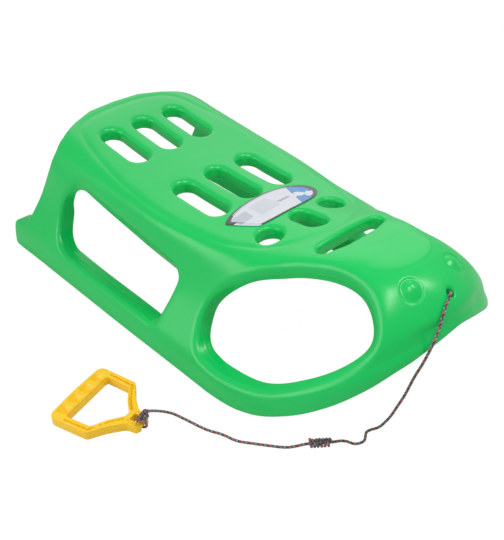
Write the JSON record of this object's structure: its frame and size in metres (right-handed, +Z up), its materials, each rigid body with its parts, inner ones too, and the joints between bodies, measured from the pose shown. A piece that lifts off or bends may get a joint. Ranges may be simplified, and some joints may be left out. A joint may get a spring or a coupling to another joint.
{
  "type": "child's plastic sled",
  "caption": "Child's saddle-shaped plastic sled: twin-wall shell with runners, slots and hand holes, and a knotted pull cord with a grip handle.",
  "frame": {"origin": "on the floor under the middle of the shell's length and width", "axes": "+X forward to the nose, +Y to the rider's left, +Z up"},
  "size_m": [0.7637, 0.6019, 0.2215],
  "materials": {
    "green_shell": "satin moulded polyethylene, bright green",
    "label_film": "glossy printed film",
    "braided_cord": "braided cord of several colours",
    "yellow_handle": "satin moulded plastic, warm yellow"
  },
  "bodies": {
    "root": {"sled_body": "green_shell", "label": "label_film", "pull_cord": "braided_cord", "stop_knot": "braided_cord", "barrel_knot": "braided_cord", "eye_knot": "braided_cord", "eye_loop": "braided_cord"},
    "handle": {"pull_handle": "yellow_handle"}
  },
  "joints": [
    {"name": "handle_pivot", "type": "hinge", "parent": "root", "child": "handle", "pos_m": [0.1205, -0.311, 0.0105], "axis": [-0.2924, 0.9563, 0], "range_deg": [0, 45]}
  ]
}
